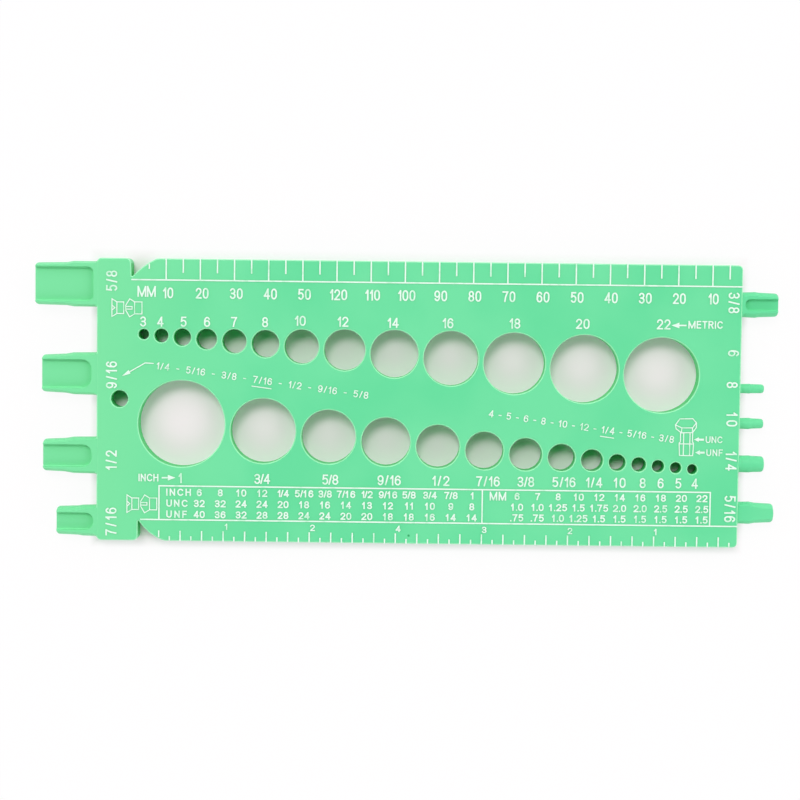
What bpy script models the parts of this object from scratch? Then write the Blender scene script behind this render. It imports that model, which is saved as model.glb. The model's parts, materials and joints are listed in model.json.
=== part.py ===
"""Thread pitch gauge: one moulded plate with bolt holes, nut posts and two ruler edges.

The plate lies on its back, face up, with its length along X and the millimetre ruler
along +Y. Two slanted rows of smooth holes sort bolts by diameter. Stepped posts at both
ends sort nuts: a coarse nut stops at the step, a fine one slides over it. Posts that are
thicker than the plate are flattened flush with it, and the wide ones are cored from both
faces, as a mould makes them. Behind the two left corners a notch takes a screw's head,
and its wall is the zero of a ruler edge.

The plate's length follows from the longer hole row and its width from the places of both
rows, and every post, hole and notch is placed from the plate's own edges.
"""

from __future__ import annotations

import math
from dataclasses import dataclass
from enum import Enum

import bmesh
import bpy
from mathutils import Vector

MM = 0.001  # sizes are in millimetres, the model in metres
INCH = 25.4

# Plate
THICKNESS = 6.0
EDGE_BREAK = 0.3  # chamfer along every edge of both faces, hole mouths included
OUTER_CORNER = 1.3
SHOULDER_CORNER = 1.4  # corner of the plate beside each notch
RUN_IN_CORNER = 2.5  # where a notch's curve meets the ruler edge
NOTCH_ROOT = 0.25

# Bolt holes: the numbered inch sizes at the end of the row are 10, 8, 6, 5 and 4
METRIC_BOLTS = (3, 4, 5, 6, 7, 8, 10, 12, 14, 16, 18, 20, 22)
INCH_BOLTS = (1, 3 / 4, 5 / 8, 9 / 16, 1 / 2, 7 / 16, 3 / 8, 5 / 16, 1 / 4, 0.19, 0.164, 0.138, 0.125, 0.112)
BOLT_CLEARANCE = 0.1  # on the diameter
METRIC_WEB = 1.56  # plastic left between neighbouring holes
INCH_WEB = 1.77
METRIC_TILT = math.radians(-3.85)  # both rows fall to the right
INCH_TILT = math.radians(-4.42)
METRIC_INSET = 22.2  # first hole, in from the upper edge
ROW_SPACING = 26.2  # between the first holes of the two rows, across the plate
INCH_INSET = 34.7  # first hole, in from the lower edge
ROW_MARGIN = 12.2  # plate left beyond both ends of the longer row
BODY_WIDTH = METRIC_INSET + ROW_SPACING + INCH_INSET

# Hanging hole
HANG_DIAMETER = 5.0
HANG_FROM_LEFT = 6.7
HANG_ABOVE_MIDDLE = 0.3

# Nut posts
FLAT_DROP = 0.05  # how far below the faces of the plate a post's flats lie
POST_SEAT = 1.5  # how far a post's turned body reaches into the plate
ROOT_FILLET = 0.8
STEP_SLOPE = math.radians(10)  # half angle of the cone at a post's step
TIP_ROUND = 0.8
TIP_ROUND_SHARE = 0.6  # the most of a thin tip's radius that its rounding takes
CORE_WEB = 2.9  # plastic left between the cores of the two faces
CORE_RIM = 0.35  # flat left beside the core at the tip
CORE_FLOOR_ROUND = 0.4
CUTTER_OVERRUN = 1.0

# Fineness of curved walls
FACET = 1.5
HOLE_FACETS_LEAST = 20
POST_FACETS = 28
QUARTER_STEPS = 3  # facets in a quarter turn of a post's fillets
RUN_IN_STEPS = 4
CORNER_STEP = math.radians(18)
CHAMFER_STEPS = 0
ROUND_STEPS = 1
MERGE = 0.000001  # metres

PLASTIC_GREEN = (0.17, 0.76, 0.36, 1.0)
PLASTIC_ROUGHNESS = 0.45


class End(Enum):
    """The plate's short edge that a post stands on."""

    LEFT = -1
    RIGHT = 1


class Edge(Enum):
    """The plate's long edge that a feature is placed from."""

    UPPER = 1
    LOWER = -1


@dataclass(frozen=True)
class Hole:
    """A round hole, placed from the plate's centre."""

    x: float
    y: float
    diameter: float


@dataclass(frozen=True)
class Notch:
    """The cut beside a ruler's zero: a wall for a screw's head, then a curve out to the edge."""

    edge: Edge
    from_left: float  # the ruler's zero, in from the plate's left edge
    depth: float
    run: float  # length of the ruler edge that the curve takes
    run_radius: float
    wall_lean: float = 0.0  # how far the wall leans left on its way out


@dataclass(frozen=True)
class NutPost:
    """A stepped post: a thick root, a shoulder and a thinner tip."""

    size: str
    end: End
    edge: Edge
    inset: float  # centre line, in from its long edge
    reach: float  # from the plate's end to the tip
    shoulder: float  # from the plate's end to the step
    root_diameter: float
    shoulder_diameter: float
    step_diameter: float  # just past the step
    tip_diameter: float
    flat_drop: float = FLAT_DROP
    core_start: float = 0.0  # from the plate's end to the core, 0 on a solid post
    core_corner: float = 0.0

    @property
    def flat_thickness(self) -> float:
        """Thickness over the flats."""
        return THICKNESS - 2 * self.flat_drop

    @property
    def core_half_width(self) -> float:
        """Half width of the core, up to the rim that is left beside it on the tip's flat."""
        if self.tip_diameter <= self.flat_thickness:
            return 0.0
        return math.sqrt(self.tip_diameter ** 2 - self.flat_thickness ** 2) / 2 - CORE_RIM

    @property
    def core_depth(self) -> float:
        """Depth of the core in each face."""
        return (self.flat_thickness - CORE_WEB) / 2

    @property
    def is_cored(self) -> bool:
        """Whether the post has cores: one too narrow or too thin for them stays solid."""
        if self.core_start == 0:
            return False
        return min(self.core_half_width, self.core_depth) > CORE_FLOOR_ROUND


NOTCHES = (
    Notch(Edge.UPPER, from_left=10.1, depth=5.6, run=7.4, run_radius=25.0, wall_lean=0.2),
    Notch(Edge.LOWER, from_left=12.15, depth=6.35, run=7.8, run_radius=14.0),
)

POSTS = (
    NutPost(
        "5_8", End.LEFT, Edge.UPPER, inset=7.65, reach=18.3, shoulder=7.2,
        root_diameter=13.4, shoulder_diameter=13.4, step_diameter=12.7, tip_diameter=12.35,
        core_start=1.0, core_corner=1.8,
    ),
    NutPost(
        "9_16", End.LEFT, Edge.UPPER, inset=34.05, reach=16.3, shoulder=7.2,
        root_diameter=12.6, shoulder_diameter=12.4, step_diameter=11.6, tip_diameter=11.0,
        core_start=1.5, core_corner=2.9,
    ),
    NutPost(
        "1_2", End.LEFT, Edge.LOWER, inset=24.9, reach=16.0, shoulder=7.2,
        root_diameter=11.0, shoulder_diameter=10.8, step_diameter=10.0, tip_diameter=9.45,
        core_start=1.4, core_corner=2.7,
    ),
    NutPost(
        "7_16", End.LEFT, Edge.LOWER, inset=5.5, reach=12.0, shoulder=4.4,
        root_diameter=9.4, shoulder_diameter=9.2, step_diameter=8.75, tip_diameter=8.35,
        core_start=0.9, core_corner=2.4,
    ),
    NutPost(
        "3_8", End.RIGHT, Edge.UPPER, inset=11.5, reach=10.8, shoulder=4.2,
        root_diameter=7.3, shoulder_diameter=7.6, step_diameter=7.25, tip_diameter=6.85,
        flat_drop=0.3, core_start=1.0, core_corner=1.8,
    ),
    NutPost(
        "no_8", End.RIGHT, Edge.UPPER, inset=36.2, reach=7.4, shoulder=3.1,
        root_diameter=2.7, shoulder_diameter=2.88, step_diameter=2.72, tip_diameter=2.6,
    ),
    NutPost(
        "no_10", End.RIGHT, Edge.LOWER, inset=36.6, reach=7.4, shoulder=3.1,
        root_diameter=3.2, shoulder_diameter=3.36, step_diameter=3.05, tip_diameter=2.85,
    ),
    NutPost(
        "1_4", End.RIGHT, Edge.LOWER, inset=24.6, reach=7.7, shoulder=3.4,
        root_diameter=4.95, shoulder_diameter=5.1, step_diameter=4.85, tip_diameter=4.65,
    ),
    NutPost(
        "5_16", End.RIGHT, Edge.LOWER, inset=10.1, reach=10.7, shoulder=3.6,
        root_diameter=6.45, shoulder_diameter=6.65, step_diameter=6.0, tip_diameter=5.6,
        flat_drop=0.6,
    ),
)


def hole_row(bolts: tuple[float, ...], web: float, tilt: float) -> list[Hole]:
    """Set holes along a slanted line with equal webs, from the row's first hole at 0, 0."""
    row = []
    along = 0.0
    previous = None
    for bolt in bolts:
        diameter = bolt + BOLT_CLEARANCE
        if previous is not None:
            along += previous / 2 + web + diameter / 2
        row.append(Hole(along * math.cos(tilt), along * math.sin(tilt), diameter))
        previous = diameter
    return row


def row_span(row: list[Hole]) -> float:
    """Length of a row along X, from rim to rim."""
    return row[-1].x + row[-1].diameter / 2 + row[0].diameter / 2


def centred_row(row: list[Hole], first_y: float) -> list[Hole]:
    """Move a row to the middle of the plate's length, with its first hole at first_y."""
    first_x = row[0].diameter / 2 - row_span(row) / 2
    return [Hole(hole.x + first_x, hole.y + first_y, hole.diameter) for hole in row]


METRIC_ROW = hole_row(METRIC_BOLTS, METRIC_WEB, METRIC_TILT)
INCH_ROW = hole_row(tuple(size * INCH for size in INCH_BOLTS), INCH_WEB, INCH_TILT)
BODY_LENGTH = max(row_span(METRIC_ROW), row_span(INCH_ROW)) + 2 * ROW_MARGIN
HALF_LENGTH = BODY_LENGTH / 2
HALF_WIDTH = BODY_WIDTH / 2


def plate_holes() -> list[Hole]:
    """List every round hole of the plate."""
    hang = Hole(HANG_FROM_LEFT - HALF_LENGTH, HANG_ABOVE_MIDDLE, HANG_DIAMETER)
    metric = centred_row(METRIC_ROW, HALF_WIDTH - METRIC_INSET)
    inch = centred_row(INCH_ROW, INCH_INSET - HALF_WIDTH)
    return [hang, *metric, *inch]


def circle(hole: Hole) -> list[Vector]:
    """Points around a hole, in multiples of four."""
    quarters = math.ceil(math.pi * hole.diameter / FACET / 4)
    count = max(HOLE_FACETS_LEAST, 4 * quarters)
    radius = hole.diameter / 2
    turns = [2 * math.pi * index / count for index in range(count)]
    return [Vector((hole.x + radius * math.cos(turn), hole.y + radius * math.sin(turn))) for turn in turns]


def rounded_corner(before: Vector, corner: Vector, after: Vector, radius: float) -> list[Vector]:
    """Points of an arc that replaces a corner and touches both its sides."""
    to_before = (before - corner).normalized()
    to_after = (after - corner).normalized()
    half_angle = to_before.angle(to_after) / 2
    tangent = radius / math.tan(half_angle)
    start = corner + to_before * tangent
    centre = corner + (to_before + to_after).normalized() * (radius / math.sin(half_angle))
    sweep = math.pi - 2 * half_angle
    turns_left = to_before.x * to_after.y - to_before.y * to_after.x < 0
    direction = 1 if turns_left else -1
    steps = max(2, math.ceil(sweep / CORNER_STEP))
    spoke = start - centre
    points = []
    for index in range(steps + 1):
        angle = direction * sweep * index / steps
        turned = Vector((
            spoke.x * math.cos(angle) - spoke.y * math.sin(angle),
            spoke.x * math.sin(angle) + spoke.y * math.cos(angle),
        ))
        points.append(centre + turned)
    return points


def rounded_loop(corners: list[tuple[Vector, float]]) -> list[Vector]:
    """Close a loop of corners, each with its own radius, 0 for a plain point."""
    loop = []
    for index, (corner, radius) in enumerate(corners):
        before = corners[index - 1][0]
        after = corners[(index + 1) % len(corners)][0]
        if radius > 0:
            loop.extend(rounded_corner(before, corner, after, radius))
        else:
            loop.append(corner)
    return loop


def run_in_curve(start: Vector, end: Vector, notch: Notch) -> list[Vector]:
    """Inner points of the arc from a notch's corner out to its ruler edge, full towards the edge."""
    chord = end - start
    half_chord = chord.length / 2
    middle = (start + end) / 2
    outward = Vector((-chord.y, chord.x)).normalized() * notch.edge.value
    centre = middle - outward * math.sqrt(notch.run_radius ** 2 - half_chord ** 2)
    points = []
    for index in range(1, RUN_IN_STEPS):
        towards = start.lerp(end, index / RUN_IN_STEPS) - centre
        points.append(centre + towards.normalized() * notch.run_radius)
    return points


def notch_corners(notch: Notch) -> list[tuple[Vector, float]]:
    """Corners of a notch, from the plate's left end towards its right."""
    side = notch.edge.value
    zero = notch.from_left - HALF_LENGTH
    shoulder = Vector((zero - notch.wall_lean, side * HALF_WIDTH))
    root = Vector((zero, side * (HALF_WIDTH - notch.depth)))
    run_out = Vector((zero + notch.run, side * HALF_WIDTH))
    curve = [(point, 0.0) for point in run_in_curve(root, run_out, notch)]
    return [(shoulder, SHOULDER_CORNER), (root, NOTCH_ROOT), *curve, (run_out, RUN_IN_CORNER)]


def plate_outline() -> list[Vector]:
    """The plate's outline, anticlockwise from its lower left corner."""
    upper, lower = NOTCHES
    corners = [(Vector((-HALF_LENGTH, -HALF_WIDTH)), OUTER_CORNER)]
    corners += notch_corners(lower)
    corners += [
        (Vector((HALF_LENGTH, -HALF_WIDTH)), OUTER_CORNER),
        (Vector((HALF_LENGTH, HALF_WIDTH)), OUTER_CORNER),
    ]
    corners += reversed(notch_corners(upper))
    corners.append((Vector((-HALF_LENGTH, HALF_WIDTH)), OUTER_CORNER))
    return rounded_loop(corners)


def new_collection(name: str) -> bpy.types.Collection:
    """Make a collection in the scene."""
    collection = bpy.data.collections.new(name)
    bpy.context.scene.collection.children.link(collection)
    return collection


def flat_solid(
    name: str,
    loops: list[list[Vector]],
    thickness: float,
    edge_round: float,
    round_steps: int,
    collection: bpy.types.Collection,
) -> bpy.types.Object:
    """Extrude closed loops about Z = 0, with holes where one loop lies inside another."""
    curve = bpy.data.curves.new(name, "CURVE")
    curve.dimensions = "2D"
    curve.fill_mode = "BOTH"
    curve.extrude = (thickness / 2 - edge_round) * MM
    curve.bevel_depth = edge_round * MM
    curve.offset = -edge_round * MM
    curve.bevel_resolution = round_steps
    for loop in loops:
        spline = curve.splines.new("POLY")
        spline.points.add(len(loop) - 1)
        for point, place in zip(spline.points, loop):
            point.co = (place.x * MM, place.y * MM, 0.0, 1.0)
        spline.use_cyclic_u = True
    drawn = bpy.data.objects.new(name, curve)
    bpy.context.scene.collection.objects.link(drawn)
    evaluated = drawn.evaluated_get(bpy.context.evaluated_depsgraph_get())
    mesh = bpy.data.meshes.new_from_object(evaluated)
    bpy.data.objects.remove(drawn)
    bpy.data.curves.remove(curve)
    mesh.name = name
    weld = bmesh.new()
    weld.from_mesh(mesh)
    bmesh.ops.remove_doubles(weld, verts=weld.verts, dist=MERGE)
    weld.to_mesh(mesh)
    weld.free()
    solid = bpy.data.objects.new(name, mesh)
    collection.objects.link(solid)
    return solid


def as_helper(helper: bpy.types.Object) -> bpy.types.Object:
    """Hide an object that only cuts or joins another."""
    helper.hide_render = True
    helper.display_type = "WIRE"
    return helper


def place_on_end(feature: bpy.types.Object, post: NutPost, height: float) -> None:
    """Set a feature that is drawn along +X on its post's centre line."""
    feature.location = (
        post.end.value * HALF_LENGTH * MM,
        post.edge.value * (HALF_WIDTH - post.inset) * MM,
        height * MM,
    )
    if post.end is End.LEFT:
        feature.rotation_euler.z = math.pi


def add_boolean(target: bpy.types.Object, operation: str, operand: bpy.types.Object) -> None:
    """Cut or trim an object with another."""
    modifier = target.modifiers.new(operand.name, "BOOLEAN")
    modifier.operation = operation
    modifier.object = operand


def post_profile(post: NutPost) -> list[Vector]:
    """Half section of a post, from the axis inside the plate to the axis at the tip."""
    root = post.root_diameter / 2
    shoulder = post.shoulder_diameter / 2
    step = post.step_diameter / 2
    tip = post.tip_diameter / 2
    step_run = (shoulder - step) / math.tan(STEP_SLOPE)
    tip_round = min(TIP_ROUND, TIP_ROUND_SHARE * tip)
    quarter = [math.pi / 2 * index / QUARTER_STEPS for index in range(QUARTER_STEPS + 1)]
    flare = []
    for angle in quarter[1:]:
        x = ROOT_FILLET * (1 - math.cos(angle))
        flare.append(Vector((x, root + ROOT_FILLET * (1 - math.sin(angle)))))
    profile = [Vector((-POST_SEAT, 0.0)), Vector((-POST_SEAT, flare[0].y)), *flare]
    profile.append(Vector((post.shoulder, shoulder)))
    profile.append(Vector((post.shoulder + step_run, step)))
    for angle in quarter:
        x = post.reach - tip_round * (1 - math.sin(angle))
        profile.append(Vector((x, tip - tip_round * (1 - math.cos(angle)))))
    profile.append(Vector((post.reach, 0.0)))
    return profile


def turned_post(post: NutPost, collection: bpy.types.Collection) -> bpy.types.Object:
    """Turn a post's half section about the X axis."""
    name = f"post_{post.size}"
    points = post_profile(post)
    mesh = bpy.data.meshes.new(name)
    edges = [(index, index + 1) for index in range(len(points) - 1)]
    mesh.from_pydata([(point.x * MM, point.y * MM, 0.0) for point in points], edges, [])
    body = bpy.data.objects.new(name, mesh)
    collection.objects.link(body)
    screw = body.modifiers.new("turn", "SCREW")
    screw.axis = "X"
    screw.angle = 2 * math.pi
    screw.steps = POST_FACETS
    screw.render_steps = POST_FACETS
    screw.use_merge_vertices = True
    screw.merge_threshold = MERGE
    screw.use_normal_flip = True
    return as_helper(body)


def flat_slab(post: NutPost, collection: bpy.types.Collection) -> bpy.types.Object:
    """A block that trims a post to its flats."""
    bpy.ops.mesh.primitive_cube_add(size=1.0)
    slab = bpy.context.object
    slab.name = f"flats_{post.size}"
    length = 2 * (post.reach + CUTTER_OVERRUN)
    width = post.root_diameter + 2 * (ROOT_FILLET + CUTTER_OVERRUN)
    slab.dimensions = (length * MM, width * MM, post.flat_thickness * MM)
    bpy.ops.object.transform_apply(location=False, rotation=False, scale=True)
    for owner in slab.users_collection:
        owner.objects.unlink(slab)
    collection.objects.link(slab)
    return as_helper(slab)


def core_outline(post: NutPost) -> list[Vector]:
    """Plan of a post's core: round at the root, open past the tip."""
    half = post.core_half_width
    corner = min(post.core_corner, half - CORE_FLOOR_ROUND / 2)
    far = post.reach + CUTTER_OVERRUN
    corners = [
        (Vector((far, half)), 0.0),
        (Vector((post.core_start, half)), corner),
        (Vector((post.core_start, -half)), corner),
        (Vector((far, -half)), 0.0),
    ]
    return rounded_loop(corners)


def add_post(
    post: NutPost,
    posts: bpy.types.Collection,
    cutters: bpy.types.Collection,
) -> None:
    """Build one post on the plate's end, with its flats and cores."""
    middle = THICKNESS / 2
    body = turned_post(post, posts)
    place_on_end(body, post, middle)
    slab = flat_slab(post, cutters)
    place_on_end(slab, post, middle)
    add_boolean(body, "INTERSECT", slab)
    if not post.is_cored:
        return
    height = post.core_depth + CUTTER_OVERRUN
    offset = post.flat_thickness / 2 - post.core_depth + height / 2
    for face, side in (("front", 1), ("back", -1)):
        name = f"core_{post.size}_{face}"
        core = flat_solid(name, [core_outline(post)], height, CORE_FLOOR_ROUND, ROUND_STEPS, cutters)
        place_on_end(as_helper(core), post, middle + side * offset)
        add_boolean(body, "DIFFERENCE", core)


def green_plastic() -> bpy.types.Material:
    """Light green plastic, slightly satin."""
    material = bpy.data.materials.new("green_plastic")
    material.use_nodes = True
    shader = material.node_tree.nodes["Principled BSDF"]
    shader.inputs["Base Color"].default_value = PLASTIC_GREEN
    shader.inputs["Roughness"].default_value = PLASTIC_ROUGHNESS
    shader.inputs["Metallic"].default_value = 0.0
    return material


def build_gauge() -> bpy.types.Object:
    """Build the plate, join the posts to it and centre it over the origin."""
    gauge = new_collection("thread_pitch_gauge")
    posts = new_collection("nut_posts")
    cutters = new_collection("cutters")
    loops = [plate_outline()] + [circle(hole) for hole in plate_holes()]
    plate = flat_solid("gauge_plate", loops, THICKNESS, EDGE_BREAK, CHAMFER_STEPS, gauge)
    plate.location.z = THICKNESS / 2 * MM
    plate.data.materials.append(green_plastic())
    for post in POSTS:
        add_post(post, posts, cutters)
    join = plate.modifiers.new("nut_posts", "BOOLEAN")
    join.operation = "UNION"
    join.operand_type = "COLLECTION"
    join.collection = posts
    left_reach = max(post.reach for post in POSTS if post.end is End.LEFT)
    right_reach = max(post.reach for post in POSTS if post.end is End.RIGHT)
    centre = (left_reach - right_reach) / 2 * MM
    for part in (*gauge.objects, *posts.objects, *cutters.objects):
        part.location.x += centre
    return plate


def main() -> None:
    """Clear the scene and build the gauge."""
    for leftover in list(bpy.data.objects):
        bpy.data.objects.remove(leftover)
    build_gauge()


main()
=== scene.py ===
"""Looks of the thread pitch gauge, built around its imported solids.

The moulded plate gets its plastic. Raised, pale-stamped numbers, ruler marks, rules and small
drawings are set on its face, and a camera looks down on it over a pale, soft-lit floor.

Places on the plate are in millimetres from the middle of its face, +X to the right and +Y to
the millimetre ruler. They become metres in the model's own frame as each piece is made.
"""

from __future__ import annotations

import json
import logging
import math
from collections.abc import Sequence
from dataclasses import dataclass, field
from enum import Enum
from itertools import zip_longest

import bpy
from mathutils import Matrix, Vector
from mathutils.geometry import delaunay_2d_cdt

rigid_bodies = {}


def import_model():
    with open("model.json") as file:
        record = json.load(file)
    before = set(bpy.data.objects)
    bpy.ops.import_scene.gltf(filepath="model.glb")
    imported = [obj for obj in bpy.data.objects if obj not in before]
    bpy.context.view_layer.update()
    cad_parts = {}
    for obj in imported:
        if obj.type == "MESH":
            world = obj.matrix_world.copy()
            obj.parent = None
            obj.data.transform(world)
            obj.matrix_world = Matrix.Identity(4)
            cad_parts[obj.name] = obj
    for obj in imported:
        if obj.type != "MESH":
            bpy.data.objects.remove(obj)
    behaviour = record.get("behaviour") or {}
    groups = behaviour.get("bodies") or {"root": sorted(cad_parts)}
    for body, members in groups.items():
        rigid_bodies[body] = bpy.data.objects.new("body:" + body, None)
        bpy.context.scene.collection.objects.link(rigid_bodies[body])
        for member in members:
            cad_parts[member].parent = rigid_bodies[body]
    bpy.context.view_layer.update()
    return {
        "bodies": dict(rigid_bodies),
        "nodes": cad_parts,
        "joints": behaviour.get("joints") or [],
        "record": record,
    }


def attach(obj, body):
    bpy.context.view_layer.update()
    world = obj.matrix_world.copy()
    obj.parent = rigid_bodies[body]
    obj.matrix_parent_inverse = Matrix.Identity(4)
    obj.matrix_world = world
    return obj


LOG = logging.getLogger("gauge")
MM = 0.001
INCH = 25.4
ROOT = "root"
GAUGE_NODE = "gauge_plate"

PRINT_RISE = 0.15  # how far the print stands over the face, in millimetres
PRINT_DEPTH = 0.05  # how far its walls reach into the plate

ALL_TRIANGLES = 0  # the triangulation fills everything, and what lies outside is left out here
WELD = 0.00001
BOW_STEP = 22.5  # degrees of a curved stroke in one straight piece
SHARPEST_MITRE = 0.5  # least cosine between a stroke and the mean of two that meet

BLOCK_SEAT = (0.0, 0.5, 0.5)  # moves a unit block until its origin is at the foot of one end
LONG_EVERY = 2  # one ruler mark in so many is long
WHOLE_STEP = 1.0  # from one mark's number to the next

COLOUR_INPUTS = (6, 7)  # the Mix node's sockets for colours
COLOUR_OUTPUT = 2
UPRIGHT_BELOW = 0.5  # upward part of the normal under which a surface counts as a wall
LEVEL_ABOVE = 0.9  # and over which it counts as level

Place = tuple[float, float]
Line = tuple[Sequence[Place], bool]
Colour = tuple[float, float, float]


@dataclass(frozen=True)
class Plate:
    """Places of the moulded plate, in millimetres.

    Attributes:
        half_length: From the middle to either short edge, without the posts.
        half_width: From the middle to either ruler edge.
        middle_x: The plate's middle in the model's frame.
        face: Height of the face with the numbers.
    """

    half_length: float = 94.56
    half_width: float = 41.55
    middle_x: float = 3.75
    face: float = 6.0

    def in_frame(self, x: float, y: float, rise: float) -> Vector:
        """Turn a place over the face into metres in the model's frame."""
        return Vector(((x + self.middle_x) * MM, y * MM, (self.face + rise) * MM))


PLATE = Plate()


class Side(Enum):
    """Which parts of a raised shape a finish goes on."""

    TOP = 0
    WALL = 1


class Reading(Enum):
    """Which way a label is read, as a turn from the plate's length."""

    ALONG = 0.0
    UPWARD = math.pi / 2
    DOWNWARD = -math.pi / 2


class NodeBench:
    """Adds and joins the nodes of one tree."""

    def __init__(self, tree: bpy.types.NodeTree) -> None:
        """Take the tree to work on.

        Args:
            tree: A shader, world or geometry node tree.
        """
        self.tree = tree

    def add(self, kind: str, **settings: object) -> bpy.types.Node:
        """Add a node.

        Args:
            kind: Blender's name of the node type.
            **settings: Properties to set on it.

        Returns:
            The new node.
        """
        node = self.tree.nodes.new(kind)
        for name, value in settings.items():
            setattr(node, name, value)
        return node

    def join(self, source: bpy.types.NodeSocket, target: bpy.types.NodeSocket) -> None:
        """Link an output to an input."""
        self.tree.links.new(source, target)

    def math(self, operation: str, first: object, second: object = None) -> bpy.types.NodeSocket:
        """Add a Math node.

        Args:
            operation: Blender's name of the operation.
            first: A socket or a number.
            second: A socket or a number, where the operation takes two.

        Returns:
            The result's socket.
        """
        node = self.add("ShaderNodeMath", operation=operation)
        for target, value in zip(node.inputs, (first, second)):
            if isinstance(value, bpy.types.NodeSocket):
                self.join(value, target)
            elif value is not None:
                target.default_value = value
        return node.outputs[0]

    def blend(self, share: bpy.types.NodeSocket, low: object, high: object) -> bpy.types.NodeSocket:
        """Mix two colours.

        Args:
            share: How much of the second colour shows, from 0 to 1.
            low: The first colour, or its socket.
            high: The second colour, or its socket.

        Returns:
            The mixed colour's socket.
        """
        node = self.add("ShaderNodeMix", data_type="RGBA")
        self.join(share, node.inputs["Factor"])
        for index, value in zip(COLOUR_INPUTS, (low, high)):
            if isinstance(value, bpy.types.NodeSocket):
                self.join(value, node.inputs[index])
            else:
                node.inputs[index].default_value = (*value, 1.0)
        return node.outputs[COLOUR_OUTPUT]

    def spread(self, value: bpy.types.NodeSocket, span: Place, onto: Place) -> bpy.types.NodeSocket:
        """Stretch a value from one range onto another, and hold it there.

        Args:
            value: The socket to stretch.
            span: The range that it comes in.
            onto: The range that it goes to.

        Returns:
            The stretched value's socket.
        """
        node = self.add("ShaderNodeMapRange", clamp=True)
        self.join(value, node.inputs["Value"])
        node.inputs["From Min"].default_value, node.inputs["From Max"].default_value = span
        node.inputs["To Min"].default_value, node.inputs["To Max"].default_value = onto
        return node.outputs["Result"]


def moulding_group() -> bpy.types.NodeTree:
    """Make the group that gives a moulded surface its grain and its cloudy flow.

    Returns:
        A shader node group with outputs Grain and Cloud, both from 0 to 1.
    """
    group = bpy.data.node_groups.new("moulded_surface", "ShaderNodeTree")
    for name in ("Grain Scale", "Cloud Scale"):
        group.interface.new_socket(name, in_out="INPUT", socket_type="NodeSocketFloat")
    for name in ("Grain", "Cloud"):
        group.interface.new_socket(name, in_out="OUTPUT", socket_type="NodeSocketFloat")
    bench = NodeBench(group)
    given = bench.add("NodeGroupInput")
    result = bench.add("NodeGroupOutput")
    places = bench.add("ShaderNodeTexCoord")
    for name, detail in (("Grain", 3.0), ("Cloud", 2.0)):
        noise = bench.add("ShaderNodeTexNoise", noise_dimensions="3D")
        noise.inputs["Detail"].default_value = detail
        bench.join(places.outputs["Object"], noise.inputs["Vector"])
        bench.join(given.outputs[f"{name} Scale"], noise.inputs["Scale"])
        bench.join(noise.outputs["Fac"], result.inputs[name])
    return group


@dataclass(frozen=True)
class FineGrain:
    """The grain of a moulded surface: how rough it is and how it stands up.

    Attributes:
        grain_scale: Fineness of the grain.
        cloud_scale: Fineness of the cloudy flow.
        sheen: Least and most roughness.
        bump: Strength of the grain's bump.
        grain_span: The part of the grain's range that the roughness follows.
        height: Height of the grain, in metres.
    """

    grain_scale: float
    cloud_scale: float
    sheen: Place
    bump: float
    grain_span: Place = (0.3, 0.7)
    height: float = 0.00002

    def lay(
        self, bench: NodeBench, shader: bpy.types.Node, moulding: bpy.types.NodeTree
    ) -> bpy.types.NodeSocket:
        """Give a shader its roughness and its bump.

        Args:
            bench: The material's nodes.
            shader: The material's own shader.
            moulding: The group that gives the grain and the cloudy flow.

        Returns:
            The socket of the cloudy flow.
        """
        surface = bench.add("ShaderNodeGroup", node_tree=moulding)
        surface.inputs["Grain Scale"].default_value = self.grain_scale
        surface.inputs["Cloud Scale"].default_value = self.cloud_scale
        sheen = bench.spread(surface.outputs["Grain"], self.grain_span, self.sheen)
        bench.join(sheen, shader.inputs["Roughness"])
        bump = bench.add("ShaderNodeBump")
        bump.inputs["Strength"].default_value = self.bump
        bump.inputs["Distance"].default_value = self.height
        bench.join(surface.outputs["Grain"], bump.inputs["Height"])
        bench.join(bump.outputs["Normal"], shader.inputs["Normal"])
        return surface.outputs["Cloud"]


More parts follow.
